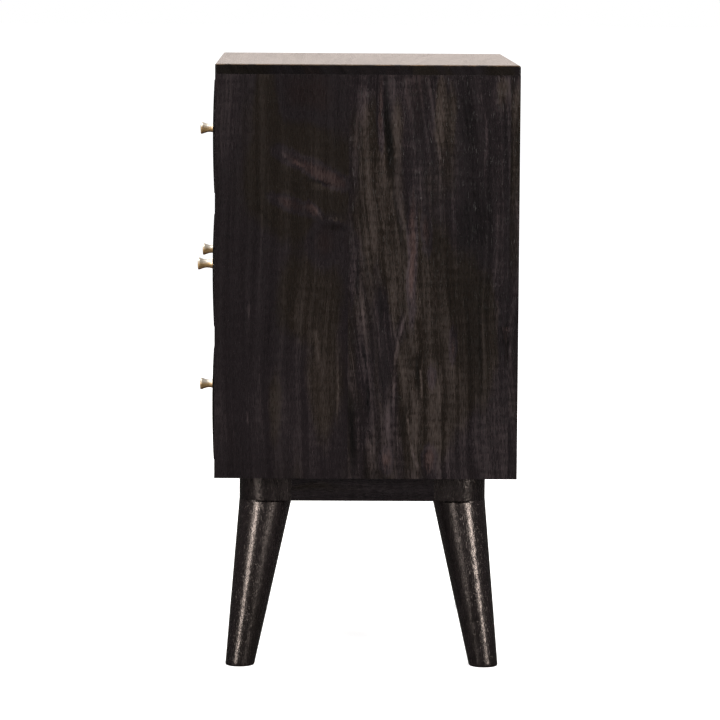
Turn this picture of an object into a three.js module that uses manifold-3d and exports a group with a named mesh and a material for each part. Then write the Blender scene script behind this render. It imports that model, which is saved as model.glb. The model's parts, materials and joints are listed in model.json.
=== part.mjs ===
// Nightstand with four drawers in three rows (one wide, two small, one wide), on splayed turned legs.
// Millimetres, +Z up, the drawer fronts face -Y. The origin is on the floor, under the middle of the
// whole object, knobs included. Boards are solid hardwood, dovetailed drawers run on the dividers.
import * as THREE from "three";
import { mergeVertices } from "three/addons/utils/BufferGeometryUtils.js";
import Module from "manifold-3d";

const wasm = await Module();
wasm.setup();

// ---------------------------------------------------------------- driving dimensions

const WIDTH = 400; // carcass, left to right
const DEPTH = 300; // carcass, front edge to back edge
const HEIGHT = 600; // floor to top surface
const BOARD = 18; // side panels, dividers and drawer fronts
const SHELL = 15; // top and bottom boards
const ROW_OPENING = 114.5; // height of each drawer row
const ROWS = 3;

const TOP_LIP = 10; // edge of the top board that shows above each side panel
const DADO = { deep: 6, stop: 12 }; // grooves for the horizontal boards, stopped short of the front
const BACK_PANEL = 6; // thickness of the back panel
const BACK_REBATE = { deep: 8, wide: 9 }; // step that holds it in the side panels and the top

const FRONT_GAP = 1.5; // gap all round a drawer front
const SLIDE_GAP = 0.5; // between a drawer and the board it runs on
const FRONT_PROUD = 1; // the drawer fronts stand this far in front of the carcass at their edges
const FRONT_CROWN = 1.5; // and their faces swell by this much more at mid height
const CROWN_STEPS = 12;

const DRAWER_WALL = 12; // drawer sides and backs
const DRAWER_WALL_HEIGHT = 98;
const DRAWER_BACK_GAP = 0.5; // a closed drawer stops against the back panel
const TAIL = { count: 3, long: 12, narrow: 18, wide: 24 }; // dovetails at each drawer corner
const BOTTOM_GROOVE = { above: 8, high: 6.5, deep: 6 }; // groove round the inside of the drawer
const DRAWER_BOTTOM = 6;
const FIT = 0.25; // clearance that glue or wax fills in a fitted joint

const KNOB = { long: 17, base: 5.6, waist: 4.7, rim: 6.2, bore: 2.25, boreDepth: 10 };
const KNOB_SCREW = { radius: 2, head: 4, headHigh: 2.5, hole: 2.25 };

const BASE = { high: 25, frontInset: 24.5, backInset: 29.5, sideInset: 20 }; // the frame under the carcass
const BLOCK_HALF = 26; // half the side of its corner blocks, and the radius of their outer corner
const RAIL = 22; // thickness of the rails between them
const LEG = { foot: 14.25, top: 26, splay: 25, overrun: 20 }; // radii square to the axis, and the lean
const LEG_GAP = 0.25;
const LEG_BOLT = { radius: 4, inLeg: 38, inBlock: 20, hole: 4.25 };
const BASE_SCREW = { x: 70, radius: 2.25, head: 4.5, sunk: 9, into: 12, hole: 2.5, counterbore: 5 };
const BACK_SCREW = { edge: 5.5, radius: 1.5, head: 3.25, long: 25, hole: 1.75 }; // through the back panel

const ROUND = 32; // facets round a leg
const KNOB_ROUND = 20;
const SMALL_ROUND = 12; // facets round screws and bolts

// ---------------------------------------------------------------- derived places

const FRONT_Y = -DEPTH / 2;
const BACK_Y = DEPTH / 2;
const INNER = WIDTH - 2 * BOARD;
const CARCASS_BOTTOM = HEIGHT - 2 * SHELL - ROWS * ROW_OPENING - (ROWS - 1) * BOARD;
const SIDE_TOP = HEIGHT - TOP_LIP;
const BACK_FACE = BACK_Y - BACK_REBATE.deep; // where the inside boards end
const KNOB_SEAT_Y = FRONT_Y - FRONT_PROUD - FRONT_CROWN;
const FRONTMOST_Y = KNOB_SEAT_Y - KNOB.long;
const CENTRE_Y = (FRONTMOST_Y + BACK_Y) / 2; // the object's own middle, in carcass coordinates
const FRAME_BOTTOM = CARCASS_BOTTOM - BASE.high;
const rowFloor = (row) => CARCASS_BOTTOM + SHELL + row * (ROW_OPENING + BOARD);
const BLOCK_X = WIDTH / 2 - BASE.sideInset - BLOCK_HALF;
const BLOCK_Y = {
  front: FRONT_Y + BASE.frontInset + BLOCK_HALF,
  back: BACK_Y - BASE.backInset - BLOCK_HALF,
};

// ---------------------------------------------------------------- materials

const paint = (color, roughness, metalness = 0) =>
  new THREE.MeshStandardMaterial({ color, roughness, metalness });
const stainedWood = paint(0x2a2422, 0.45);
const naturalWood = paint(0xb98f62, 0.6);
const brass = paint(0xc99a55, 0.25, 1);
const steel = paint(0xa8a8aa, 0.35, 1);

// ---------------------------------------------------------------- shape helpers

const UP = new THREE.Vector3(0, 1, 0); // the axis that turned shapes are made along

// A box between two corners.
function box([x0, y0, z0], [x1, y1, z1]) {
  const middle = [(x0 + x1) / 2, (y0 + y1) / 2, (z0 + z1) / 2];
  return new THREE.BoxGeometry(x1 - x0, y1 - y0, z1 - z0).translate(...middle);
}

// An outline of [y, z] points, drawn out along X from x0 to x1.
function prismAlongX(outline, x0, x1) {
  const shape = new THREE.Shape(outline.map(([y, z]) => new THREE.Vector2(y, z)));
  const prism = new THREE.ExtrudeGeometry(shape, { depth: x1 - x0, bevelEnabled: false });
  const axes = new THREE.Matrix4().makeBasis(
    new THREE.Vector3(0, 1, 0),
    new THREE.Vector3(0, 0, 1),
    new THREE.Vector3(1, 0, 0),
  );
  return prism.applyMatrix4(axes).translate(x0, 0, 0);
}

// A turned shape whose [radius, height] profile runs up the Y axis.
function turned(profile, facets) {
  return new THREE.LatheGeometry(
    profile.map(([r, h]) => new THREE.Vector2(r, h)),
    facets,
  );
}

// A plain rod from one point to another, for drilling.
function rod(from, to, radius, facets = SMALL_ROUND) {
  const along = new THREE.Vector3().subVectors(to, from);
  const middle = new THREE.Vector3().addVectors(from, to).multiplyScalar(0.5);
  const turn = new THREE.Quaternion().setFromUnitVectors(UP, along.clone().normalize());
  return new THREE.CylinderGeometry(radius, radius, along.length(), facets)
    .applyQuaternion(turn)
    .translate(middle.x, middle.y, middle.z);
}
function solidOf(geometry) {
  const bare = geometry.clone();
  bare.deleteAttribute("normal");
  bare.deleteAttribute("uv");
  const merged = mergeVertices(bare);
  return new wasm.Manifold(
    new wasm.Mesh({
      numProp: 3,
      vertProperties: merged.getAttribute("position").array,
      triVerts: new Uint32Array(merged.index.array),
    }),
  );
}

function geometryOf(solid) {
  const { vertProperties, triVerts } = solid.getMesh();
  const geometry = new THREE.BufferGeometry();
  geometry.setAttribute("position", new THREE.BufferAttribute(vertProperties, 3));
  geometry.setIndex(new THREE.BufferAttribute(triVerts, 1));
  geometry.computeVertexNormals();
  return geometry;
}

// A geometry with the tools cut away from it.
function cut(geometry, tools) {
  const left = tools.reduce((solid, tool) => solid.subtract(solidOf(tool)), solidOf(geometry));
  return geometryOf(left);
}

function add(parent, name, geometry, material) {
  const mesh = new THREE.Mesh(geometry, material);
  mesh.name = name;
  parent.add(mesh);
  return mesh;
}

// ---------------------------------------------------------------- carcass

// The top board: a lip rests on the side panels, and the thicker part drops between them.
function topPanel() {
  const half = WIDTH / 2;
  const low = HEIGHT - SHELL;
  return cut(box([-half, FRONT_Y, low], [half, BACK_Y, HEIGHT]), [
    box([-half - 1, FRONT_Y - 1, low - 1], [-INNER / 2, BACK_Y + 1, SIDE_TOP]),
    box([INNER / 2, FRONT_Y - 1, low - 1], [half + 1, BACK_Y + 1, SIDE_TOP]),
    box([-half - 1, BACK_FACE, low - 1], [half + 1, BACK_Y + 1, SIDE_TOP]),
  ]);
}

// A side panel, with stopped dados for the horizontal boards and a rebate for the back panel.
function sidePanel(side) {
  const outer = (side * WIDTH) / 2;
  const inner = (side * INNER) / 2;
  const span = (a, b) => [Math.min(a, b), Math.max(a, b)];
  const [x0, x1] = span(inner, outer);
  const [d0, d1] = span(inner - side, inner + side * DADO.deep);
  const [r0, r1] = span(inner - side, inner + side * BACK_REBATE.wide);
  const dado = (z, thick) => box([d0, FRONT_Y + DADO.stop, z], [d1, BACK_FACE + 1, z + thick]);
  const dividers = [1, 2].map((row) => dado(rowFloor(row) - BOARD, BOARD));
  const dados = [dado(CARCASS_BOTTOM, SHELL), ...dividers];
  const rebate = box([r0, BACK_FACE, CARCASS_BOTTOM - 1], [r1, BACK_Y + 1, SIDE_TOP + 1]);
  const screwHoles = backScrewPlaces()
    .filter(({ x }) => x * side > 0)
    .map(backScrewHole);
  return cut(box([x0, FRONT_Y, CARCASS_BOTTOM], [x1, BACK_Y, SIDE_TOP]), [...dados, rebate, ...screwHoles]);
}

// A horizontal board let into both side panels. Its front corners are notched round the ends of the dados.
function shelf(z, thick) {
  const reach = INNER / 2 + DADO.deep - FIT;
  const notchEnd = FRONT_Y + DADO.stop + FIT;
  return cut(box([-reach, FRONT_Y, z], [reach, BACK_FACE, z + thick]), [
    box([-reach - 1, FRONT_Y - 1, z - 1], [-INNER / 2, notchEnd, z + thick + 1]),
    box([INNER / 2, FRONT_Y - 1, z - 1], [reach + 1, notchEnd, z + thick + 1]),
  ]);
}

function baseScrewPlaces() {
  const ys = [BLOCK_Y.front - BLOCK_HALF + RAIL / 2, BLOCK_Y.back + BLOCK_HALF - RAIL / 2];
  return ys.flatMap((y, i) =>
    [-1, 1].map((side) => ({
      label: `${i === 0 ? "front" : "back"}_${side < 0 ? "left" : "right"}`,
      x: side * BASE_SCREW.x,
      y,
      front: i === 0,
    })),
  );
}

function bottomPanel() {
  const pilots = baseScrewPlaces().map(({ x, y }) =>
    rod(
      new THREE.Vector3(x, y, CARCASS_BOTTOM - 1),
      new THREE.Vector3(x, y, CARCASS_BOTTOM + BASE_SCREW.into + FIT),
      BASE_SCREW.hole,
    ),
  );
  return cut(shelf(CARCASS_BOTTOM, SHELL), pilots);
}

// The back panel's corner screws go into the side panels.
function backScrewPlaces() {
  const x = INNER / 2 + BACK_SCREW.edge;
  const heights = { lower: rowFloor(0) + ROW_OPENING / 2, upper: rowFloor(ROWS - 1) + ROW_OPENING / 2 };
  return Object.entries(heights).flatMap(([level, z]) => [
    { label: `${level}_left`, x: -x, z },
    { label: `${level}_right`, x, z },
  ]);
}

function backScrewHole({ x, z }) {
  const back = BACK_FACE + BACK_PANEL;
  return rod(
    new THREE.Vector3(x, back + 1, z),
    new THREE.Vector3(x, back - BACK_SCREW.long - FIT, z),
    BACK_SCREW.hole,
  );
}

function backPanel() {
  const reach = INNER / 2 + BACK_REBATE.wide - FIT;
  const panel = box([-reach, BACK_FACE, CARCASS_BOTTOM], [reach, BACK_FACE + BACK_PANEL, SIDE_TOP]);
  return cut(panel, backScrewPlaces().map(backScrewHole));
}

// A small round-head screw whose head bears on the back panel.
function backScrewGeometry() {
  const { radius, head, long } = BACK_SCREW;
  return turned(
    [
      [0, -2],
      [head - 1, -2],
      [head, -0.75],
      [head, 0],
      [radius, 0],
      [radius, long - 3],
      [0.5, long],
      [0, long],
    ],
    SMALL_ROUND,
  );
}

function makeCarcass() {
  const carcass = new THREE.Group();
  add(carcass, "top_panel", topPanel(), stainedWood);
  add(carcass, "side_panel_left", sidePanel(-1), stainedWood);
  add(carcass, "side_panel_right", sidePanel(1), stainedWood);
  add(carcass, "bottom_panel", bottomPanel(), stainedWood);
  add(carcass, "lower_divider", shelf(rowFloor(1) - BOARD, BOARD), stainedWood);
  add(carcass, "upper_divider", shelf(rowFloor(2) - BOARD, BOARD), stainedWood);
  const middle = box([-BOARD / 2, FRONT_Y, rowFloor(1)], [BOARD / 2, BACK_FACE, rowFloor(1) + ROW_OPENING]);
  add(carcass, "centre_divider", middle, stainedWood);
  add(carcass, "back_panel", backPanel(), stainedWood);
  for (const { label, x, z } of backScrewPlaces()) {
    const screw = add(carcass, `back_screw_${label}`, backScrewGeometry(), steel);
    screw.position.set(x, BACK_FACE + BACK_PANEL, z);
    screw.rotation.x = Math.PI;
  }
  return carcass;
}

// ---------------------------------------------------------------- drawers

// One dovetail as [y, z] points: narrow at the shoulder, wide at the end, towards -Y or +Y.
function tailOutline(shoulderY, towards, centreZ, grow = 0) {
  const end = shoulderY + towards * (TAIL.long + grow);
  const narrow = TAIL.narrow / 2 + grow;
  const wide = TAIL.wide / 2 + grow;
  return [
    [shoulderY, centreZ - narrow],
    [end, centreZ - wide],
    [end, centreZ + wide],
    [shoulderY, centreZ + narrow],
  ];
}

const tailCentres = (z) =>
  Array.from({ length: TAIL.count }, (_, i) => z + (DRAWER_WALL_HEIGHT * (i + 0.5)) / TAIL.count);

// A drawer side as an outline in the YZ plane, with tails at both ends.
function drawerSideOutline(frontShoulder, backShoulder, z) {
  const centres = tailCentres(z);
  const front = centres.flatMap((c) => tailOutline(frontShoulder, -1, c)).reverse();
  const back = centres.flatMap((c) => tailOutline(backShoulder, 1, c));
  return [
    [frontShoulder, z],
    [backShoulder, z],
    ...back,
    [backShoulder, z + DRAWER_WALL_HEIGHT],
    [frontShoulder, z + DRAWER_WALL_HEIGHT],
    ...front,
  ];
}

// The swelling front face, bottom to top, closed by the flat back face.
function drawerFrontOutline(backOfFront, z0, z1) {
  const face = Array.from({ length: CROWN_STEPS + 1 }, (_, i) => {
    const across = (2 * i) / CROWN_STEPS - 1;
    return [FRONT_Y - FRONT_PROUD - FRONT_CROWN * (1 - across ** 2), z0 + ((z1 - z0) * i) / CROWN_STEPS];
  });
  return [[backOfFront, z0], [backOfFront, z1], ...face.reverse()];
}

function makeDrawer(name, { centreX, row, opening }) {
  const width = opening - 2 * FRONT_GAP;
  const half = width / 2;
  const inside = half - DRAWER_WALL;
  const floor = rowFloor(row);
  const z = floor + SLIDE_GAP;
  const frontBottom = floor + FRONT_GAP;
  const frontTop = floor + ROW_OPENING - FRONT_GAP;
  const middleZ = (frontBottom + frontTop) / 2;
  const frontShoulder = FRONT_Y - FRONT_PROUD + BOARD;
  const backEnd = BACK_FACE - DRAWER_BACK_GAP;
  const backShoulder = backEnd - DRAWER_WALL;

  const { above, high, deep } = BOTTOM_GROOVE;
  const groove = box(
    [-inside - deep, frontShoulder - deep, z + above],
    [inside + deep, backShoulder + deep, z + above + high],
  );
  const sockets = (shoulder, towards) =>
    tailCentres(z).flatMap((c) =>
      [-1, 1].map((side) => {
        const outline = tailOutline(shoulder, towards, c, FIT);
        const [x0, x1] = side < 0 ? [-half - 1, -inside + FIT] : [inside - FIT, half + 1];
        return prismAlongX(towards < 0 ? outline.reverse() : outline, x0, x1);
      }),
    );
  const screwHole = rod(
    new THREE.Vector3(0, frontShoulder + 1, middleZ),
    new THREE.Vector3(0, KNOB_SEAT_Y - 1, middleZ),
    KNOB_SCREW.hole,
  );

  const drawer = new THREE.Group();
  drawer.position.x = centreX;
  const front = prismAlongX(drawerFrontOutline(frontShoulder, frontBottom, frontTop), -half, half);
  add(drawer, `${name}_front`, cut(front, [groove, screwHole, ...sockets(frontShoulder, -1)]), stainedWood);
  for (const [side, label] of [
    [-1, "left"],
    [1, "right"],
  ]) {
    const [x0, x1] = side < 0 ? [-half, -inside] : [inside, half];
    const board = prismAlongX(drawerSideOutline(frontShoulder, backShoulder, z), x0, x1);
    add(drawer, `${name}_side_${label}`, cut(board, [groove]), naturalWood);
  }
  const back = box([-half, backShoulder, z], [half, backEnd, z + DRAWER_WALL_HEIGHT]);
  add(drawer, `${name}_back`, cut(back, [groove, ...sockets(backShoulder, 1)]), naturalWood);
  const bottomLow = z + above + FIT;
  const bottom = box(
    [-inside - deep + FIT, frontShoulder - deep + FIT, bottomLow],
    [inside + deep - FIT, backShoulder + deep - FIT, bottomLow + DRAWER_BOTTOM],
  );
  add(drawer, `${name}_bottom`, bottom, naturalWood);

  const knob = add(drawer, `${name}_knob`, knobGeometry(), brass);
  knob.position.set(0, KNOB_SEAT_Y, middleZ);
  knob.rotation.x = Math.PI;
  const screw = add(drawer, `${name}_knob_screw`, knobScrewGeometry(), steel);
  screw.position.set(0, frontShoulder, middleZ);
  screw.rotation.x = Math.PI;
  return drawer;
}

// A small turned knob: a flared foot, a hollow waist and a wider rim with a low domed face.
function knobGeometry() {
  const { long, base, waist, rim, bore, boreDepth } = KNOB;
  return turned(
    [
      [0, boreDepth],
      [bore, boreDepth],
      [bore, 0],
      [base, 0],
      [base, 1],
      [(base + waist) / 2 - 0.2, 3.5],
      [waist, 7],
      [(rim + waist) / 2 - 0.35, 11],
      [rim - 0.2, 14.2],
      [rim, 15],
      [rim - 0.2, 16],
      [rim - 1, 16.6],
      [0, long],
    ],
    KNOB_ROUND,
  );
}

// A pan-head machine screw. Its head bears on the inside of the drawer front.
function knobScrewGeometry() {
  const { radius, head, headHigh } = KNOB_SCREW;
  const reach = Math.abs(KNOB_SEAT_Y - (FRONT_Y - FRONT_PROUD + BOARD)) + KNOB.boreDepth - 2;
  return turned(
    [
      [0, -headHigh],
      [head - 1, -headHigh],
      [head, -headHigh + 1],
      [head, 0],
      [radius, 0],
      [radius, reach - 1],
      [radius - 0.75, reach],
      [0, reach],
    ],
    SMALL_ROUND,
  );
}

// ---------------------------------------------------------------- base

// A block stands over each leg, and the rails run between the blocks.
function cornerPlaces() {
  return ["front", "back"].flatMap((end) =>
    [-1, 1].map((side) => ({
      label: `${end}_${side < 0 ? "left" : "right"}`,
      x: side * BLOCK_X,
      y: BLOCK_Y[end],
      outX: side,
      outY: end === "front" ? -1 : 1,
    })),
  );
}

const footOf = ({ x, y, outX, outY }) => new THREE.Vector3(x + outX * LEG.splay, y + outY * LEG.splay, 0);
const legTopOf = ({ x, y }) => new THREE.Vector3(x, y, FRAME_BOTTOM);
const upLeg = (corner) => new THREE.Vector3().subVectors(legTopOf(corner), footOf(corner)).normalize();

// The drilling for a leg's bolt: it follows the leg's own axis up into the block.
function boltHole(corner) {
  const top = legTopOf(corner);
  const up = upLeg(corner);
  return rod(
    top.clone().addScaledVector(up, -LEG_BOLT.inLeg - FIT),
    top.clone().addScaledVector(up, LEG_BOLT.inBlock + FIT),
    LEG_BOLT.hole,
  );
}

// A tapered round leg on a leaning axis, cut level at the floor and just under its block.
function legGeometry(corner) {
  const foot = footOf(corner);
  const top = legTopOf(corner);
  const up = upLeg(corner);
  const axisLength = foot.distanceTo(top);
  const growth = (LEG.top - LEG.foot) / axisLength;
  const cone = new THREE.CylinderGeometry(
    LEG.top + growth * LEG.overrun,
    LEG.foot - growth * LEG.overrun,
    axisLength + 2 * LEG.overrun,
    ROUND,
  );
  const middle = new THREE.Vector3().addVectors(foot, top).multiplyScalar(0.5);
  cone.applyQuaternion(new THREE.Quaternion().setFromUnitVectors(UP, up));
  cone.translate(middle.x, middle.y, middle.z);
  const room = WIDTH;
  return cut(cone, [
    box([-room, -room, -room], [room, room, 0]),
    box([-room, -room, FRAME_BOTTOM - LEG_GAP], [room, room, HEIGHT]),
    boltHole(corner),
  ]);
}

// A square block whose outer corner is rounded about the block's own middle.
function blockGeometry(corner) {
  const quarter = new THREE.Shape();
  quarter.moveTo(BLOCK_HALF, 0);
  quarter.absarc(0, 0, BLOCK_HALF, 0, Math.PI / 2, false);
  quarter.lineTo(-BLOCK_HALF, BLOCK_HALF);
  quarter.lineTo(-BLOCK_HALF, -BLOCK_HALF);
  quarter.lineTo(BLOCK_HALF, -BLOCK_HALF);
  const block = new THREE.ExtrudeGeometry(quarter, {
    depth: BASE.high,
    bevelEnabled: false,
    curveSegments: ROUND / 4,
  });
  block.rotateZ(Math.atan2(corner.outY, corner.outX) - Math.PI / 4);
  block.translate(corner.x, corner.y, FRAME_BOTTOM);
  return cut(block, [boltHole(corner)]);
}

function boltGeometry() {
  const { radius, inLeg, inBlock } = LEG_BOLT;
  return turned(
    [
      [0, -inLeg],
      [radius - 1, -inLeg],
      [radius, -inLeg + 1],
      [radius, inBlock - 1],
      [radius - 1, inBlock],
      [0, inBlock],
    ],
    SMALL_ROUND,
  );
}

// A front or back rail with a counterbored hole from below for each of its screws.
function screwedRail(y0, y1, screws) {
  const drillings = screws.flatMap(({ x, y }) => {
    const below = new THREE.Vector3(x, y, FRAME_BOTTOM - 1);
    return [
      rod(below, new THREE.Vector3(x, y, CARCASS_BOTTOM + 1), BASE_SCREW.hole),
      rod(below, new THREE.Vector3(x, y, FRAME_BOTTOM + BASE_SCREW.sunk), BASE_SCREW.counterbore),
    ];
  });
  const end = BLOCK_X - BLOCK_HALF;
  return cut(box([-end, y0, FRAME_BOTTOM], [end, y1, CARCASS_BOTTOM]), drillings);
}

// A wood screw that holds a rail to the bottom panel, head down in its counterbore.
function baseScrewGeometry() {
  const { radius, head, sunk, into } = BASE_SCREW;
  const reach = BASE.high - sunk + into;
  return turned(
    [
      [0, -3],
      [head - 1, -3],
      [head, -2],
      [head, 0],
      [radius, 0],
      [radius, reach - 4],
      [0.6, reach],
      [0, reach],
    ],
    SMALL_ROUND,
  );
}

function makeBase() {
  const base = new THREE.Group();
  for (const corner of cornerPlaces()) {
    add(base, `corner_block_${corner.label}`, blockGeometry(corner), stainedWood);
    add(base, `leg_${corner.label}`, legGeometry(corner), stainedWood);
    const bolt = add(base, `leg_bolt_${corner.label}`, boltGeometry(), steel);
    bolt.position.copy(legTopOf(corner));
    bolt.quaternion.setFromUnitVectors(UP, upLeg(corner));
  }
  const outerX = BLOCK_X + BLOCK_HALF;
  const frontY = BLOCK_Y.front - BLOCK_HALF;
  const backY = BLOCK_Y.back + BLOCK_HALF;
  const [y0, y1] = [BLOCK_Y.front + BLOCK_HALF, BLOCK_Y.back - BLOCK_HALF];
  const [z0, z1] = [FRAME_BOTTOM, CARCASS_BOTTOM];
  const screws = baseScrewPlaces();
  const frontScrews = screws.filter(({ front }) => front);
  const backScrews = screws.filter(({ front }) => !front);
  add(base, "rail_left", box([-outerX, y0, z0], [-outerX + RAIL, y1, z1]), stainedWood);
  add(base, "rail_right", box([outerX - RAIL, y0, z0], [outerX, y1, z1]), stainedWood);
  add(base, "rail_front", screwedRail(frontY, frontY + RAIL, frontScrews), stainedWood);
  add(base, "rail_back", screwedRail(backY - RAIL, backY, backScrews), stainedWood);
  for (const { x, y, label } of screws) {
    const screw = add(base, `base_screw_${label}`, baseScrewGeometry(), steel);
    screw.position.set(x, y, FRAME_BOTTOM + BASE_SCREW.sunk);
    screw.rotation.x = Math.PI / 2;
  }
  return base;
}

// ---------------------------------------------------------------- the whole nightstand

const smallOpening = (INNER - BOARD) / 2;
const smallCentre = (BOARD + smallOpening) / 2;

const nightstand = new THREE.Group();
nightstand.position.y = -CENTRE_Y;
nightstand.add(makeCarcass());
nightstand.add(makeDrawer("top_drawer", { centreX: 0, row: 2, opening: INNER }));
nightstand.add(makeDrawer("middle_left_drawer", { centreX: -smallCentre, row: 1, opening: smallOpening }));
nightstand.add(makeDrawer("middle_right_drawer", { centreX: smallCentre, row: 1, opening: smallOpening }));
nightstand.add(makeDrawer("bottom_drawer", { centreX: 0, row: 0, opening: INNER }));
nightstand.add(makeBase());

export default nightstand;
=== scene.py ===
"""Looks of a nightstand with four drawers: black-stained wood, brass knobs and splayed turned legs.

Everything is in metres, +Z up, drawer fronts towards -Y. Sizes and places come from the frame.
"""

import json
import math

import bmesh
import bpy
from mathutils import Matrix, Vector


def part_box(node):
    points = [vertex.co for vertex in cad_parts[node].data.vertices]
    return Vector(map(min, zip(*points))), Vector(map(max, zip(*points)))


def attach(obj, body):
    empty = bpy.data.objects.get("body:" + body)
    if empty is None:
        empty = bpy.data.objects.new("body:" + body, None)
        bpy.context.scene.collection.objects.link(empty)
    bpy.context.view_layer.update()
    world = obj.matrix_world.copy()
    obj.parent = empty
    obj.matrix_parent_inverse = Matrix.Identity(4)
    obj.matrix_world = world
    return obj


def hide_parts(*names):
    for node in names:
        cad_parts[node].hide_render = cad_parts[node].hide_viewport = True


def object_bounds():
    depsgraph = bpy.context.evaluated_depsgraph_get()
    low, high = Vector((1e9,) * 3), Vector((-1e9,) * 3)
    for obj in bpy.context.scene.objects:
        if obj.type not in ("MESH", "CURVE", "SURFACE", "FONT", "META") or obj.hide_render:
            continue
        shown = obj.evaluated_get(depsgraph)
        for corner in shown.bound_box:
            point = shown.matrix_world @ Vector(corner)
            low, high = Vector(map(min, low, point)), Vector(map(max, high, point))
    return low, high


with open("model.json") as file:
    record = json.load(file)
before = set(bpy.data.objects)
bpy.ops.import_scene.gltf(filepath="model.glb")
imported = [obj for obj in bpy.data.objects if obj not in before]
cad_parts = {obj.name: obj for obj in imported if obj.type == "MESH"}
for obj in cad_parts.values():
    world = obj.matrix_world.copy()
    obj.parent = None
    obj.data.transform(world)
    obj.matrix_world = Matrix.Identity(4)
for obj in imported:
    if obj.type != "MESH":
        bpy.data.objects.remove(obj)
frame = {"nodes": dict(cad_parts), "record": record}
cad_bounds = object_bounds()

MM = 0.001

# -------------------------------------------------- places worked out from the frame

TOP_LOW, TOP_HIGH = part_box("top_panel")
SIDE_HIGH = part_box("side_panel_right")[1]
BACK_LOW, BACK_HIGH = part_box("back_panel")
FRONT_Y = TOP_LOW.y
BACK_Y = TOP_HIGH.y
SIDE_TOP = SIDE_HIGH.z
FRAME_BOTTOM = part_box("rail_left")[0].z

SIDES = ["left", "right"]
DRAWERS = ["top_drawer", "middle_left_drawer", "middle_right_drawer", "bottom_drawer"]
CORNERS = ["front_left", "front_right", "back_left", "back_right"]

# Glue seams of the panels. The first board starts at the front edge.
SIDE_SEAMS = [FRONT_Y + 131.7 * MM, FRONT_Y + 290.5 * MM]
TOP_SEAMS = [FRONT_Y + 88 * MM, FRONT_Y + 168 * MM, FRONT_Y + 194 * MM]

EDGE = {"round": 2.4 * MM, "soft": 1.2 * MM, "eased": 0.6 * MM, "crisp": 0.25 * MM}
SHARP = math.radians(30)  # from this angle on an edge is sharp, and may be rounded

# A leg's radii at the foot and the top, square to its axis, and how far the foot stands out in X and Y
LEG = {"foot": 14.25 * MM, "top": 26 * MM, "splay": 25 * MM}
LEG_EASE = {"high": 1.8, "deep": 1.5}  # the rounded edge of the foot (mm)
LEG_CHAMFER = 1.5  # at the top edge (mm)
LEG_FADE = 0.55  # the chamfer is gone where the leg faces outwards in Y by this much or more

WHITE = (1.0, 1.0, 1.0, 1.0)


# -------------------------------------------------- shader shorthand

class Num:
    """A number in a shader. Sums and products of it are Math nodes."""

    def __init__(self, tree, socket):
        self.tree = tree
        self.socket = socket

    def maths(self, operation, *others, clamp=False):
        made = self.tree.nodes.new("ShaderNodeMath")
        made.operation = operation
        made.use_clamp = clamp
        for slot, value in zip(made.inputs, (self, *others)):
            feed(self.tree, slot, value)
        return Num(self.tree, made.outputs[0])

    def __add__(self, other):
        return self.maths("ADD", other)

    def __sub__(self, other):
        return self.maths("SUBTRACT", other)

    def __mul__(self, other):
        return self.maths("MULTIPLY", other)

    def size(self):
        return self.maths("ABSOLUTE")

    def between(self, low, high, to_low=0.0, to_high=1.0):
        """A smooth step from to_low, where this is low, to to_high, where it is high."""
        ends = {"From Min": low, "From Max": high, "To Min": to_low, "To Max": to_high}
        inputs = {"Value": self} | ends
        made = node(self.tree, "ShaderNodeMapRange", inputs, interpolation_type="SMOOTHSTEP")
        return Num(self.tree, made.outputs[0])


def feed(tree, slot, value):
    if isinstance(value, Num):
        value = value.socket
    if isinstance(value, bpy.types.NodeSocket):
        tree.links.new(value, slot)
    else:
        slot.default_value = value


def node(tree, kind, inputs=None, **settings):
    made = tree.nodes.new(kind)
    for name, value in settings.items():
        setattr(made, name, value)
    for name, value in (inputs or {}).items():
        feed(tree, made.inputs[name], value)
    return made


def split(tree, vector):
    """The three parts of a vector."""
    return [Num(tree, part) for part in node(tree, "ShaderNodeSeparateXYZ", {0: vector}).outputs]


def joined(tree, x, y, z=0.0):
    return node(tree, "ShaderNodeCombineXYZ", {"X": x, "Y": y, "Z": z}).outputs[0]


def noise(tree, x, y, z, seed, detail=2.0, roughness=0.5):
    """Noise from 0 to 1, about 0.5 on average."""
    settings = {"Vector": joined(tree, x, y, z), "W": float(seed), "Scale": 1.0}
    settings |= {"Detail": detail, "Roughness": roughness}
    made = node(tree, "ShaderNodeTexNoise", settings, noise_dimensions="4D")
    return Num(tree, made.outputs["Fac"])


def mix(tree, share, a, b):
    made = node(tree, "ShaderNodeMix", data_type="RGBA")
    feed(tree, made.inputs[0], share)
    feed(tree, made.inputs[6], a)
    feed(tree, made.inputs[7], b)
    return made.outputs[2]


def multiplied(tree, a, b):
    made = node(tree, "ShaderNodeVectorMath", {0: a, 1: b}, operation="MULTIPLY")
    return made.outputs[0]


def ramp(tree, value, stops):
    made = node(tree, "ShaderNodeValToRGB", {"Fac": value})
    stops = list(stops)
    points = made.color_ramp.elements
    while len(points) < len(stops):
        points.new(0.5)
    for point, (at, colour) in zip(points, stops):
        point.position = at
        point.color = (*colour, 1.0)
    return made.outputs["Color"]


def bump(tree, shader, height, strength, distance):
    settings = {"Height": height, "Strength": strength, "Distance": distance}
    made = node(tree, "ShaderNodeBump", settings)
    feed(tree, shader.inputs["Normal"], made.outputs[0])


def new_material(name):
    material = bpy.data.materials.new(name)
    material.use_nodes = True
    tree = material.node_tree
    shader = tree.nodes["Principled BSDF"]
    return material, tree, shader


# -------------------------------------------------- wood

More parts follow.
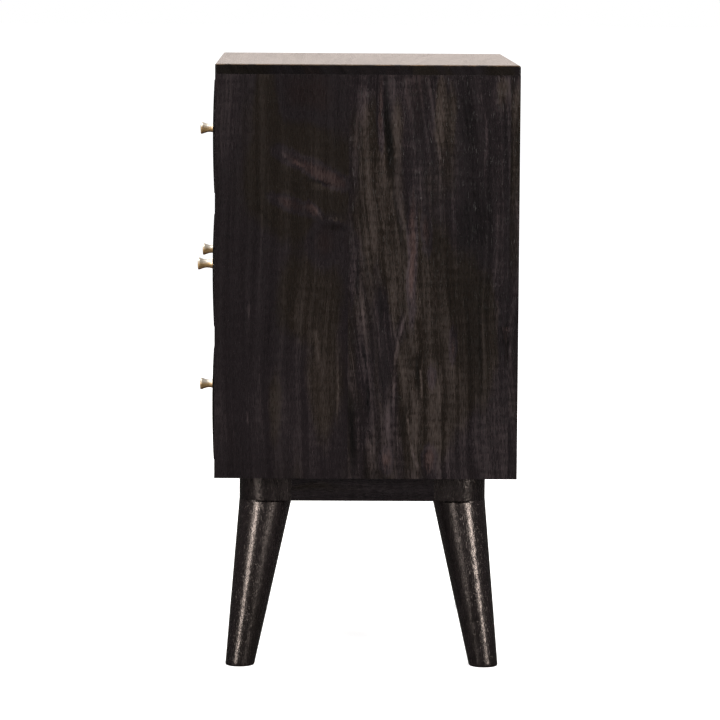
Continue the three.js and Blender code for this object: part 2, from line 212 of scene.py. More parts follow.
# Each palette has three hues that the wood wanders between. Stops are where on the scale of tone its
# dark, middle and light colours stand.
STAINED = {
    "stops": (0.10, 0.5, 0.95),
    "plain": [(0.0009, 0.0006, 0.0008), (0.0066, 0.0045, 0.0053), (0.0380, 0.0278, 0.0288)],
    "red": [(0.0011, 0.0006, 0.0006), (0.0080, 0.0044, 0.0044), (0.0440, 0.0275, 0.0255)],
    "olive": [(0.0009, 0.0006, 0.0003), (0.0066, 0.0043, 0.0029), (0.0380, 0.0286, 0.0250)],
}
NATURAL = {
    "stops": (0.12, 0.5, 0.95),
    "plain": [(0.200, 0.105, 0.050), (0.420, 0.255, 0.130), (0.600, 0.415, 0.240)],
    "red": [(0.220, 0.098, 0.042), (0.460, 0.237, 0.109), (0.660, 0.386, 0.202)],
    "olive": [(0.196, 0.107, 0.045), (0.412, 0.260, 0.117), (0.588, 0.423, 0.216)],
}
HUES = ("plain", "red", "olive")

# the colour of the painted edge highlight along the top board's upper side edges
EDGE_HIGHLIGHT_BROWN = (0.15, 0.085, 0.035, 1.0)
EDGE_HIGHLIGHT_BAND = {"outer": 0.2 * MM, "inner": 1.2 * MM}  # how far inside the top board's edges its painted edge highlight lies
GRAIN_DEPTH = 0.12 * MM
SWAY, FRAY, RAGGED_ENDS = 7 * MM, 5 * MM, 24 * MM  # how far the streaks of a figure wander and fray

# Streaks in the figure of the side panel, seen with the front edge at the left. Each is a long soft
# fleck: how far behind the front edge and how high above the floor its middle is, half its length and
# half its width (mm), how far its upper end leans forwards (degrees), and how much lighter and redder
# it is than the wood.
FRONT_BOARD_FIGURE = [
    (12, 560, 70, 18, 0, 0.06, 0.05),  # greyer wood along the front edge, darker lower down
    (12, 448, 60, 18, 0, -0.06, 0.02),
    (34, 570, 40, 24, 0, -0.02, 0.02),
    (73, 492, 60, 20, 0, 0.03, 0.0),
    (52, 560, 50, 16, 0, 0.0, -0.30),  # brown wood near the top
    (84, 488, 74, 58, 0, 0.01, -0.60),  # the brown field that holds the curls
    (92, 570, 40, 44, 0, -0.09, 0.35),  # calm dark wood near the top
    (120, 525, 45, 14, 0, -0.05, 0.0),
    (90, 500, 50, 16, 62, 0.10, 0.90),  # the upper curl, with bright flecks and a dark line below
    (116, 487, 26, 11, 66, 0.10, 0.50),
    (82, 503, 9, 3, 60, 0.18, 0.10),
    (69, 511, 6, 2.5, 50, 0.15, 0.0),
    (101, 485, 22, 2.2, 78, -0.22, 0.0),
    (110, 478, 26, 6, 74, 0.08, -0.10),
    (76, 463, 34, 12, 70, 0.09, 0.85),  # the lower curl
    (96, 459, 12, 6, 30, 0.08, 0.50),
    (102, 453, 13, 1.8, 35, 0.20, -0.10),
    (119, 448, 12, 2.5, 86, 0.18, -0.10),
    (119, 440, 16, 4.5, 86, -0.26, 0.30),
    (50, 449, 17, 2.6, 40, -0.12, 0.0),
    (108, 430, 34, 22, 0, -0.06, 0.25),
    (34, 420, 70, 16, 0, -0.04, 0.02),
    (60, 500, 110, 70, 0, -0.025, 0.0),
    (70, 262, 80, 80, 0, 0.035, 0.0),
    (92, 372, 54, 44, 0, 0.0, -0.40),  # brown wood below the calm belt
    (60, 262, 50, 10, 0, 0.03, -0.25),
    (112, 290, 85, 24, 0, 0.04, -0.35),
    (100, 280, 150, 36, 0, 0.08, 0.0),
    (112, 236, 60, 20, 0, 0.05, 0.0),
    (84, 350, 60, 12, 0, 0.05, 0.0),
    (44, 260, 60, 18, 0, 0.04, 0.0),
    (12, 235, 50, 20, 0, 0.05, 0.02),
    (102, 318, 24, 3.6, 0, 0.16, 0.0),  # a pale fleck at mid height
    (99, 333, 9, 5, 0, 0.10, 0.0),
    (34, 358, 8, 1.6, 6, 0.16, 0.0),
    (32, 249, 12, 1.6, 0, 0.16, 0.0),
    (122, 275, 46, 1.6, 0, 0.18, -0.05),
]
MIDDLE_BOARD_FIGURE = [
    (160, 505, 95, 38, 0, 0.02, -0.30),  # broad brown fields
    (165, 380, 230, 40, 0, 0.015, 0.0),
    (255, 440, 110, 26, 0, -0.06, 0.0),
    (190, 405, 66, 48, 0, 0.03, -0.38),
    (213, 287, 112, 38, 0, 0.02, -0.38),
    (255, 342, 92, 34, 0, 0.0, -0.50),
    (223, 565, 50, 10, 0, 0.0, -0.25),
    (149, 552, 50, 8, 0, 0.17, -0.05),  # pale streaks beside the seam
    (137, 534, 54, 6, 0, 0.10, 0.0),
    (140, 390, 60, 9, 0, 0.10, 0.0),
    (143, 300, 70, 12, 0, 0.10, 0.0),
    (142, 230, 40, 14, 0, 0.10, 0.0),
    (147, 575, 30, 16, 0, 0.05, 0.0),
    (163, 549, 56, 5, 1, 0.16, 0.50),
    (166, 490, 60, 12, 0, 0.11, 0.0),
    (150, 492, 40, 7, 0, 0.08, 0.0),
    (172, 527, 64, 6.5, 4, -0.46, 0.05),  # the dark wedge
    (181, 550, 46, 8, 3, 0.18, -0.22),
    (201, 553, 54, 10, 0, -0.16, 0.06),
    (221, 549, 56, 8, 1, 0.28, -0.05),
    (216, 520, 32, 8, 0, -0.10, 0.0),
    (233, 553, 44, 5, 0, 0.06, -0.2),
    (248, 537, 66, 15, 0, -0.20, 0.0),
    (248, 460, 60, 13, 0, -0.16, 0.0),
    (266, 460, 120, 13, 0, -0.18, 0.0),
    (262, 310, 80, 14, 0, -0.06, 0.0),
    (267, 517, 54, 3.2, 0, 0.20, 0.0),
    (280, 568, 30, 12, 0, 0.14, -0.2),
    (283, 580, 12, 14, 0, 0.10, -0.1),
    (288, 400, 220, 9, 0, -0.09, -0.05),
    (153, 438, 46, 9, 0, 0.07, -0.22),
    (183, 438, 44, 5, 9, -0.22, 0.06),
    (184, 452, 34, 4, 6, 0.14, 0.0),
    (195, 410, 78, 7, 0, 0.26, 0.80),  # the long pink streak
    (208, 434, 28, 7, 0, 0.03, 0.60),
    (199, 362, 58, 6, 2, 0.18, 0.0),
    (253, 437, 56, 15, 0, -0.12, 0.0),
    (135, 378, 40, 3.6, 0, 0.08, 0.08),
    (141, 390, 25, 2.3, 0, -0.32, 0.0),
    (147, 353, 21, 1.8, 4, 0.26, 0.0),
    (148, 312, 21, 2.0, 9, -0.36, 0.0),  # dark lines that fan out to the foot
    (152, 271, 30, 2.2, 3, -0.36, 0.0),
    (155, 235, 15, 2.2, 11, -0.28, 0.0),
    (136, 239, 56, 5.4, 4, -0.46, 0.0),
    (155, 225, 44, 6, 3, 0.22, 0.0),
    (199, 250, 50, 6, 2, 0.12, 0.0),
    (169, 228, 36, 6, 2, 0.12, 0.0),
    (178, 370, 46, 7, 0, 0.12, -0.24),
    (164, 360, 28, 3.2, 0, -0.26, 0.08),
    (185, 342, 18, 2.2, -14, 0.30, 0.05),  # a pale line that curves round
    (180, 316, 17, 2.0, -8, 0.28, 0.0),
    (178, 283, 26, 2.0, -2, 0.26, 0.0),
    (168, 297, 40, 8, 0, -0.08, 0.14),
    (187, 295, 38, 6, 0, 0.10, -0.22),
    (201, 293, 31, 3.2, 0, -0.30, 0.05),
    (205, 289, 31, 1.7, 0, 0.28, 0.18),
    (192, 245, 16, 1.8, 6, 0.34, 0.0),
    (198, 214, 23, 2.0, 15, 0.34, 0.1),
    (183, 228, 34, 7, 3, 0.12, 0.0),
    (187, 241, 30, 4, 0, -0.18, 0.06),
    (236, 323, 34, 9, 0, 0.10, 0.80),
    (215, 292, 22, 8, 0, 0.06, 0.60),
    (217, 244, 78, 9, 2, 0.16, 0.0),
    (231, 215, 42, 8, 0, 0.10, 0.0),
    (223, 282, 30, 4.2, 0, 0.20, -0.16),
    (251, 348, 66, 17, 0, -0.10, -0.06),
    (279, 353, 30, 2.0, 0, 0.18, -0.05),
    (281, 232, 44, 15, 0, 0.06, 0.04),
    (213, 211, 18, 9, 0, 0.12, 0.70),
    (170, 208, 16, 8, 0, 0.14, 0.50),
    (172, 249, 23, 2.6, 0, 0.16, 0.0),
    (287, 340, 9, 6, 0, -0.30, 0.30),  # a small knot at the rear seam
    (285, 341, 4, 1.2, 35, 0.5, 0.0),
    (289, 341, 4, 1.2, -35, 0.5, 0.0),
    (289, 332, 8, 2.0, 80, 0.36, 0.0),
    (290, 314, 16, 7, 0, -0.28, 0.30),
]
BACK_BOARD_FIGURE = [
    (294, 568, 44, 16, 0, 0.12, -0.10),  # paler wood in the upper corner
    (296, 430, 80, 8, 0, 0.05, 0.0),
]
KNOT_FIGURE = [
    (287, 329, 9, 6, 0, -0.26, 0.30),  # the lower part of the knot, on both sides of the rear seam
    (289, 338, 4, 3, 0, 0.34, 0.0),
    (288, 334, 1.6, 6, 0, -0.20, 0.0),
]


def streaks(tree, up, across, fibres, grain, figure):
    """How much lighter and redder a list of streaks makes the wood. The wood's own fibres show through
    them and fray their ends and edges."""
    wobble = noise(tree, up * 30.0, across * 45.0, 0.0, 5, 2.0) - 0.5
    ragged = noise(tree, up * 140.0, across * 700.0, 0.0, 9, 2.0) - 0.5
    bent = across + wobble * SWAY + ragged * (FRAY * grain)
    place = joined(tree, bent, up + ragged * (RAGGED_ENDS * grain), 0.0)
    lighter = Num(tree, node(tree, "ShaderNodeValue").outputs[0])
    redder = lighter
    for behind, height, half_length, half_width, lean, light, red in figure:
        mapping = node(tree, "ShaderNodeMapping", {"Vector": place}, vector_type="TEXTURE")
        mapping.inputs["Location"].default_value = (FRONT_Y + behind * MM, height * MM, 0.0)
        mapping.inputs["Rotation"].default_value = (0.0, 0.0, math.radians(lean))
        mapping.inputs["Scale"].default_value = (half_width * MM, half_length * MM, 1.0)
        placed = {0: mapping.outputs[0]}
        ball = node(tree, "ShaderNodeTexGradient", placed, gradient_type="SPHERICAL")
        fleck = Num(tree, ball.outputs["Fac"])
        lighter = fleck.maths("MULTIPLY_ADD", light, lighter)
        if red:
            redder = fleck.maths("MULTIPLY_ADD", red, redder)
    return lighter * ((fibres - 0.5) * (2.4 * grain) + 1.3), redder


def wood(
    name,
    axes,
    seed,
    palette=STAINED,
    slant=0.0,
    waviness=1.0,
    contrast=1.0,
    shade=0.0,
    roughness=0.27,
    ior=1.38,
    specular=0.5,
    relief=1.0,
    grain=1.0,
    wander=1.0,
    tint=WHITE,
    lumps=0.0,
    edge_highlight=False,
    figure=None,
):
    """A board's material. Axes names its grain, its width and its thickness by three of x, y, z. Shade
    makes it lighter or darker, slant is how fast its growth rings cross the board, grain is how strongly
    its fibres show, wander is how far its hue strays by itself, and tint is the colour of its gloss.
    Lumps is how uneven and nicked its lacquer is. The worn flag is for the top board: a lighter brown is
    painted along its upper edges at the sides as a painted edge highlight. Figure is a list of streaks for
    this board alone.

    The factors inside noise() are features per metre. Except in curl, those along the grain are the
    small ones, which draws everything out lengthwise."""
    material, tree, shader = new_material(name)
    place = node(tree, "ShaderNodeTexCoord")
    parts = dict(zip("xyz", split(tree, place.outputs["Object"])))
    along, across, inward = (parts[a] for a in axes)

    slow = noise(tree, along * 2.6, across * 6.0, 0.0, seed) - 0.5
    quick = noise(tree, along * 12.0, across * 22.0, 0.0, seed + 3) - 0.5
    rings = across + along * slant + inward * 0.6
    rings = rings + slow * (0.075 * waviness) + quick * (0.014 * waviness)
    bands = noise(tree, rings * 95.0, along * 2.4, 0.0, seed + 11, 4.0, 0.62) - 0.5
    lines = noise(tree, rings * 480.0, along * 8.0, 0.0, seed + 17, 3.0, 0.6) - 0.5
    fibres = noise(tree, along * 130.0, across * 1250.0, inward * 1250.0, seed + 23, 2.0, 0.6)
    hairs = noise(tree, along * 260.0, across * 2300.0, inward * 2300.0, seed + 27, 1.0, 0.5) - 0.5
    clouds = noise(tree, along * 9.0, across * 20.0, inward * 20.0, seed + 29, 3.0, 0.55) - 0.5
    pores = noise(tree, along * 90.0, across * 1300.0, inward * 1300.0, seed + 31, 1.0, 0.5)
    pores = pores.between(0.62, 0.70)
    curl = noise(tree, along * 210.0, across * 45.0, inward * 45.0, seed + 41, 2.0) - 0.5
    drift = noise(tree, rings * 42.0, along * 7.0, 0.0, seed + 37, 3.0) - 0.5
    patches = noise(tree, along * 6.0, across * 18.0, inward * 18.0, seed + 43, 3.0) - 0.5

    average = 0.5 + shade
    tone = bands * (1.15 * contrast) + lines * (0.75 * contrast) + clouds * (0.55 * contrast)
    tone = tone + (fibres - 0.5) * (0.42 * grain) + hairs * (0.28 * grain) + curl * (0.35 * grain)
    tone = tone + average
    redness = (drift * 0.8 + patches * 1.4) * wander
    if figure:
        lighter, redder = streaks(tree, along, across, fibres, grain, figure)
        tone = tone + lighter
        redness = redness + redder
    facing = dict(zip("xyz", split(tree, place.outputs["Normal"])))
    end_grain = facing[axes[0]].size().between(0.55, 0.8)
    tone = (tone - average) * (end_grain * -0.7 + 1.0) + average
    tone = (tone - pores * 0.24).maths("SUBTRACT", end_grain * 0.28, clamp=True)
    plain, red, olive = (ramp(tree, tone, zip(palette["stops"], palette[hue])) for hue in HUES)
    colour = mix(tree, redness.between(-0.01, -0.16), plain, olive)
    colour = mix(tree, redness.between(0.06, 0.30), colour, red)
    # painted edge highlight: a lighter brown painted along the top board's upper edges at the sides,
    # broken up by noise
    if edge_highlight:
        rim = parts["x"].size().between(TOP_HIGH.x - EDGE_HIGHLIGHT_BAND["inner"], TOP_HIGH.x - EDGE_HIGHLIGHT_BAND["outer"])
        rim = rim * parts["z"].between(TOP_HIGH.z - EDGE_HIGHLIGHT_BAND["inner"], TOP_HIGH.z - EDGE_HIGHLIGHT_BAND["outer"])
        painted_highlight = noise(tree, parts["x"] * 60.0, parts["y"] * 60.0, 0.0, seed + 47, 3.0)
        colour = mix(tree, rim * painted_highlight.between(0.3, 0.7), colour, EDGE_HIGHLIGHT_BROWN)
    feed(tree, shader.inputs["Base Color"], colour)

    rough = (fibres + bands * 0.6).between(0.25, 0.8, roughness - 0.06, roughness + 0.08)
    feed(tree, shader.inputs["Roughness"], rough)
    shader.inputs["IOR"].default_value = ior
    shader.inputs["Specular IOR Level"].default_value = specular
    shader.inputs["Specular Tint"].default_value = tint
    height = fibres + lines * 0.6 + hairs * 0.4 - pores * 0.9
    if lumps:
        uneven = noise(tree, along * 190.0, across * 260.0, inward * 260.0, seed + 53, 2.0, 0.6)
        askew = along * 60.0 + across * 50.0
        nicks = noise(tree, askew, across * 260.0, inward * 260.0, seed + 59, 1.0)
        height = height + uneven * (3.0 * lumps) - nicks.between(0.70, 0.74) * (2.0 * lumps)
    bump(tree, shader, height, 0.35 * relief * grain, GRAIN_DEPTH)
    return material


# -------------------------------------------------- metals

BRASS = [(0.25, (0.50, 0.31, 0.125)), (0.55, (0.72, 0.48, 0.215)), (0.85, (0.82, 0.58, 0.30))]
# painted shade: the brown that darkens the knobs' undersides
BRASS_UNDERSIDE_SHADE = (0.34, 0.26, 0.22, 1.0)
# painted highlight: the pale colour of the knobs' upper sides
BRASS_TOP_HIGHLIGHT = (1.0, 0.93, 0.80, 1.0)
ZINC = [(0.3, (0.38, 0.385, 0.39)), (0.7, (0.62, 0.62, 0.61))]


def brass():
    """Turned brass under a clear lacquer, with painted shade that turns its underside brown and a painted
    highlight that makes its upper side pale.
    """
    material, tree, shader = new_material("satin_brass")
    place = node(tree, "ShaderNodeTexCoord")
    x, y, z = split(tree, place.outputs["Object"])
    turning = noise(tree, x * 350.0, y * 6500.0, z * 350.0, 3, 3.0, 0.6)
    smudges = noise(tree, x * 260.0, y * 260.0, z * 260.0, 5, 4.0, 0.6)
    facing = split(tree, place.outputs["Normal"])[2] + (smudges - 0.5) * 0.5
    # painted shade: the colour darkens to brown where the knob faces downwards
    painted_underside_shade = mix(tree, facing.between(-0.25, -0.85), WHITE, BRASS_UNDERSIDE_SHADE)
    # painted highlight: the colour turns pale where the knob faces upwards
    painted_highlight = mix(tree, facing.between(-0.1, 0.6), ramp(tree, smudges, BRASS), BRASS_TOP_HIGHLIGHT)
    feed(tree, shader.inputs["Base Color"], multiplied(tree, painted_highlight, painted_underside_shade))
    shader.inputs["Metallic"].default_value = 0.72
    shader.inputs["Coat Weight"].default_value = 1.0
    shader.inputs["Coat Roughness"].default_value = 0.3
    shader.inputs["Coat IOR"].default_value = 1.7
    feed(tree, shader.inputs["Roughness"], smudges.between(0.2, 0.8, 0.36, 0.48))
    bump(tree, shader, turning, 0.15, 0.03 * MM)
    return material


def zinc():
    material, tree, shader = new_material("zinc_plated_steel")
    x, y, z = split(tree, node(tree, "ShaderNodeTexCoord").outputs["Object"])
    spangle = noise(tree, x * 900.0, y * 900.0, z * 900.0, 7, 4.0, 0.65)
    feed(tree, shader.inputs["Base Color"], ramp(tree, spangle, ZINC))
    shader.inputs["Metallic"].default_value = 1.0
    feed(tree, shader.inputs["Roughness"], spangle.between(0.2, 0.8, 0.26, 0.46))
    bump(tree, shader, spangle, 0.2, 0.05 * MM)
    return material


# -------------------------------------------------- mesh helpers

def piece_from(name, bm, materials, body):
    mesh = bpy.data.meshes.new(name)
    bm.to_mesh(mesh)
    bm.free()
    piece = bpy.data.objects.new(name, mesh)
    bpy.context.scene.collection.objects.link(piece)
    for material in materials:
        mesh.materials.append(material)
    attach(piece, body)
    return piece


def shade_smooth(piece, angle=SHARP):
    piece.data.polygons.foreach_set("use_smooth", [True] * len(piece.data.polygons))
    piece.data.set_sharp_from_angle(angle=angle)


def body_of(node_name):
    """The moving body that a CAD piece belongs to."""
    for body, members in frame["record"]["behaviour"]["bodies"].items():
        if node_name in members:
            return body
    raise ValueError(node_name)


def eased_copy(node_name, materials, slot, width_of, seams=(), width_max=EDGE["soft"], segments=3):
    """A finer copy of a CAD board. Its sharp edges are rounded by width_of(edge middle, edge direction).
    Seams are the places in Y where it is parted into boards, each with its own material."""
    bm = bmesh.new()
    bm.from_mesh(frame["nodes"][node_name].data)
    bmesh.ops.remove_doubles(bm, verts=bm.verts, dist=0.005 * MM)
    bmesh.ops.dissolve_limit(bm, angle_limit=math.radians(0.2), verts=bm.verts, edges=bm.edges)
    for seam in seams:
        everything = bm.verts[:] + bm.edges[:] + bm.faces[:]
        bmesh.ops.bisect_plane(bm, geom=everything, plane_co=(0, seam, 0), plane_no=(0, 1, 0))
    for face in bm.faces:
        middle = face.calc_center_median().y
        face.material_index = sum(middle > seam for seam in seams)
    layer = bm.edges.layers.float.new("bevel_weight_edge")
    for edge in bm.edges:
        if len(edge.link_faces) == 2 and edge.calc_face_angle(0.0) > SHARP:
            middle = (edge.verts[0].co + edge.verts[1].co) / 2
            along = (edge.verts[1].co - edge.verts[0].co).normalized()
            edge[layer] = width_of(middle, along) / width_max
    for face in bm.faces:
        face.smooth = True
    piece = piece_from(f"{node_name}_finished", bm, materials, body_of(node_name))
    bevel = piece.modifiers.new("eased edges", "BEVEL")
    bevel.limit_method = "WEIGHT"
    bevel.width = width_max
    bevel.segments = segments
    bevel.miter_outer = "MITER_ARC"
    weighted = piece.modifiers.new("flat faces stay flat", "WEIGHTED_NORMAL")
    weighted.weight = 100
    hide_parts(node_name)


def same_width(width):
    return lambda middle, along: width


def arc(start, end, steps):
    """Angles in radians from start to end, which are in degrees."""
    return [math.radians(start + (end - start) * i / steps) for i in range(steps + 1)]


def turned_mesh(profile, segments):
    """A closed turned shape from (radius, height) points that start and end on its axis, +Y."""
    bm = bmesh.new()
    rings = []
    for r, h in profile:
        if r == 0:
            rings.append([bm.verts.new((0, h, 0))])
            continue
        ring = []
        for i in range(segments):
            angle = 2 * math.pi * i / segments
            ring.append(bm.verts.new((r * math.cos(angle), h, r * math.sin(angle))))
        rings.append(ring)
    for lower, upper in zip(rings, rings[1:]):
        for i in range(segments):
            j = (i + 1) % segments
            corners = [lower[i % len(lower)], lower[j % len(lower)]]
            corners += [upper[j % len(upper)], upper[i % len(upper)]]
            unique = list(dict.fromkeys(corners))
            if len(unique) > 2:
                bm.faces.new(unique)
    bmesh.ops.recalc_face_normals(bm, faces=bm.faces)
    return bm


# -------------------------------------------------- carcass

def top_edges(middle, along):
    """The top board's upper edges are softened, most of all at the rear. The joint stays crisp."""
    if middle.z > TOP_HIGH.z - MM:
        return EDGE["round"] if middle.y > BACK_Y - MM else EDGE["soft"]
    if abs(along.z) > 0.9 and middle.z > SIDE_TOP:
        return EDGE["soft"]
    return EDGE["crisp"]


def side_edges(middle, along):
    """A side panel's edges are eased, but for the crisp one at the joint under the top board."""
    outer = abs(middle.x) > SIDE_HIGH.x - MM
    if abs(middle.z - SIDE_TOP) < MM and not outer:
        return EDGE["crisp"]
    return EDGE["eased"]


SIDE_BOARDS = [
    {"waviness": 0.5, "contrast": 0.4, "shade": -0.04, "grain": 0.5},
    {"waviness": 0.8, "contrast": 0.8, "slant": 0.05},
    {"contrast": 0.8, "shade": -0.06},
]
TOP_SHADES = [0.0, 0.02, 0.06, 0.12]


def side_woods(side, first_seed, figures):
    """Materials for a side panel's three boards, from the front."""
    return [
        wood(f"{side}_side_board_{i + 1}", "zyx", first_seed + 12 * i, **(board | figure))
        for i, (board, figure) in enumerate(zip(SIDE_BOARDS, figures))
    ]


def build_carcass():
    # the top board gets the painted edge highlight along its upper side edges
    top_look = {"roughness": 0.26, "relief": 0.2, "edge_highlight": True}
    top_woods = [
        wood(f"top_board_{i + 1}", "xyz", 101 + 13 * i, slant=0.03 * i, shade=shade, **top_look)
        for i, shade in enumerate(TOP_SHADES)
    ]
    top_shape = {"width_max": EDGE["round"], "segments": 4}
    eased_copy("top_panel", top_woods, "stained_wood", top_edges, TOP_SEAMS, **top_shape)
    front_figure = {"figure": FRONT_BOARD_FIGURE, "wander": 0.35}
    middle_figure = {"figure": MIDDLE_BOARD_FIGURE + KNOT_FIGURE, "wander": 0.5}
    back_figure = {"figure": BACK_BOARD_FIGURE + KNOT_FIGURE, "wander": 0.5}
    right_woods = side_woods("right", 7, (front_figure, middle_figure, back_figure))
    left_woods = side_woods("left", 207, ({}, {}, {}))
    eased_copy("side_panel_right", right_woods, "stained_wood", side_edges, SIDE_SEAMS)
    eased_copy("side_panel_left", left_woods, "stained_wood", side_edges, SIDE_SEAMS)
    shelf_wood = wood("shelf_wood", "xyz", 47)
    for name in ("bottom_panel", "lower_divider", "upper_divider"):
        eased_copy(name, [shelf_wood], "stained_wood", same_width(EDGE["crisp"]))
    upright_wood = wood("upright_wood", "zyx", 53)
    eased_copy("centre_divider", [upright_wood], "stained_wood", same_width(EDGE["crisp"]))
    back_wood = wood("back_wood", "zxy", 59, roughness=0.45, shade=0.05)
    eased_copy("back_panel", [back_wood], "stained_wood", same_width(EDGE["crisp"]))


# -------------------------------------------------- drawers

def build_drawers():
    inside = {"palette": NATURAL, "contrast": 0.8, "roughness": 0.55}
    side_wood = wood("drawer_side_wood", "yzx", 71, **inside)
    cross_wood = wood("drawer_back_wood", "xzy", 73, **inside)
    bottom_wood = wood("drawer_bottom_wood", "xyz", 79, **inside)
    for index, name in enumerate(DRAWERS):
        grown = {"slant": 0.04 * (index - 1), "waviness": 1.1}
        front_wood = wood(f"{name}_front_wood", "xzy", 83 + 7 * index, **grown)
        eased_copy(f"{name}_front", [front_wood], "stained_wood", same_width(EDGE["eased"]))
        for side in SIDES:
            eased_copy(f"{name}_side_{side}", [side_wood], "drawer_wood", same_width(EDGE["crisp"]))
        eased_copy(f"{name}_back", [cross_wood], "drawer_wood", same_width(EDGE["crisp"]))
        eased_copy(f"{name}_bottom", [bottom_wood], "drawer_wood", same_width(EDGE["crisp"]))


def knob_profile(length, base, waist, rim):
    """(radius, height) up the knob, worked out in mm: a flared foot, a hollow waist, and a wider rim with
    a rounded lip round a slightly domed face."""
    ease = 0.4
    foot_high = 1.0
    lip = 0.8
    lip_at = length - 2.0
    lip_middle = lip_at + 0.9
    points = [(0.0, 0.0), (base - ease, 0.0)]
    points += [(base - ease + ease * math.sin(a), ease - ease * math.cos(a)) for a in arc(0, 90, 4)]
    points += [(base, foot_high)]
    steps = 20
    for i in range(1, steps + 1):
        share = i / steps
        height = foot_high + (lip_at - foot_high) * share
        hollow = math.sin(math.pi * share) ** 1.2
        straight = base + (rim - base) * share ** 2.2
        points.append((straight - hollow * ((base + rim) / 2 - waist), height))
    points += [(rim - lip + lip * math.cos(a), lip_middle + lip * math.sin(a)) for a in arc(0, 80, 6)]
    points += [(rim - 2.0, length - 0.16), (rim - 3.6, length - 0.05), (0.0, length)]
    return [(r * MM, h * MM) for r, h in points]


def build_knobs(material):
    for name in DRAWERS:
        low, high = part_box(f"{name}_knob")
        middle = (low + high) / 2
        length = (high.y - low.y) / MM
        rim = (high.x - low.x) / 2 / MM
        bm = turned_mesh(knob_profile(length, base=rim - 1.0, waist=rim - 1.7, rim=rim), 72)
        at = Matrix.Translation((middle.x, high.y, middle.z))
        bm.transform(at @ Matrix.Rotation(math.pi, 4, "X"))
        knob = piece_from(f"{name}_turned_knob", bm, [material], name)
        shade_smooth(knob, math.radians(50))
        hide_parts(f"{name}_knob")


# -------------------------------------------------- base

def leg_mesh(corner):
    """A tapered leg: straight lines from a ring at the top to a ring at the foot. The foot's edge is
    eased, and the top is chamfered, which leaves a shadow line under the block. Levels are in mm."""
    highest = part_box(f"leg_{corner}")[1].z / MM
    out_x = -1 if corner.endswith("left") else 1
    out_y = -1 if corner.startswith("front") else 1
    block_low, block_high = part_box(f"corner_block_{corner}")
    top = (block_low + block_high) / 2
    top.z = FRAME_BOTTOM
    foot = Vector((top.x + out_x * LEG["splay"], top.y + out_y * LEG["splay"], 0))
    up = (top - foot).normalized()
    side = up.cross(Vector((0, 0, 1))).normalized()
    front = side.cross(up)
    shaft_low, shaft_high = 4.0, highest - 1.8
    steps = 40
    levels = [0.0, 0.35, 0.9, LEG_EASE["high"], shaft_low]
    levels += [shaft_low + (shaft_high - shaft_low) * (i + 1) / steps for i in range(steps)]
    levels += [highest - LEG_CHAMFER, highest - 1.0, highest - 0.5, highest]
    segments = 96
    bm = bmesh.new()
    rings = []
    for level in levels:
        z = level * MM
        ease = max(0.0, LEG_EASE["high"] - level) / LEG_EASE["high"]
        eased = LEG_EASE["deep"] * MM * (1 - math.sqrt(max(0.0, 1 - ease * ease)))
        chamfer = max(0.0, level - highest + LEG_CHAMFER) * MM
        ring = []
        for i in range(segments):
            angle = 2 * math.pi * i / segments
            outward = side * math.cos(angle) + front * math.sin(angle)
            inset = eased + chamfer * min(1.0, max(0.0, 1 - outward.y * out_y / LEG_FADE))
            start = foot + outward * (LEG["foot"] - inset)
            end = top + outward * (LEG["top"] - inset)
            share = (z - start.z) / (end.z - start.z)
            ring.append(bm.verts.new(start + (end - start) * share))
        rings.append(ring)
    for lower, upper in zip(rings, rings[1:]):
        for i in range(segments):
            j = (i + 1) % segments
            bm.faces.new([lower[i], lower[j], upper[j], upper[i]])
    bm.faces.new(list(reversed(rings[0])))
    bm.faces.new(rings[-1])
    bmesh.ops.recalc_face_normals(bm, faces=bm.faces)
    return bm


LACQUERED = {
    "contrast": 0.6,
    "wander": 0.3,
    "specular": 0.9,
    "lumps": 1.0,
    "tint": (1.0, 0.88, 0.82, 1.0),
}
LEG_LOOK = {"shade": -0.28, "relief": 2.0, "ior": 1.6, "roughness": 0.23}
BLOCK_LOOK = {"shade": -0.27, "relief": 2.4, "ior": 1.52, "roughness": 0.26}
RAIL_LOOK = {"contrast": 0.6, "shade": -0.12, "ior": 1.42}


def build_base():
    leg_wood = wood("leg_wood", "zyx", 61, **(LACQUERED | LEG_LOOK))
    block_wood = wood("block_wood", "zyx", 65, **(LACQUERED | BLOCK_LOOK))
    frame_wood_x = wood("frame_wood_front", "xzy", 63, **RAIL_LOOK)
    frame_wood_y = wood("frame_wood_side", "yzx", 67, **RAIL_LOOK)
    for name in ("rail_front", "rail_back"):
        eased_copy(name, [frame_wood_x], "stained_wood", same_width(EDGE["crisp"]))
    for name in ("rail_left", "rail_right"):
        eased_copy(name, [frame_wood_y], "stained_wood", same_width(EDGE["crisp"]))
    for corner in CORNERS:
        block = f"corner_block_{corner}"
        eased_copy(block, [block_wood], "stained_wood", same_width(EDGE["crisp"]))
        bm = leg_mesh(corner)
        leg = piece_from(f"leg_{corner}_turned", bm, [leg_wood], "carcass")
        shade_smooth(leg, math.radians(40))
        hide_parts(f"leg_{corner}")


# -------------------------------------------------- screws and pins

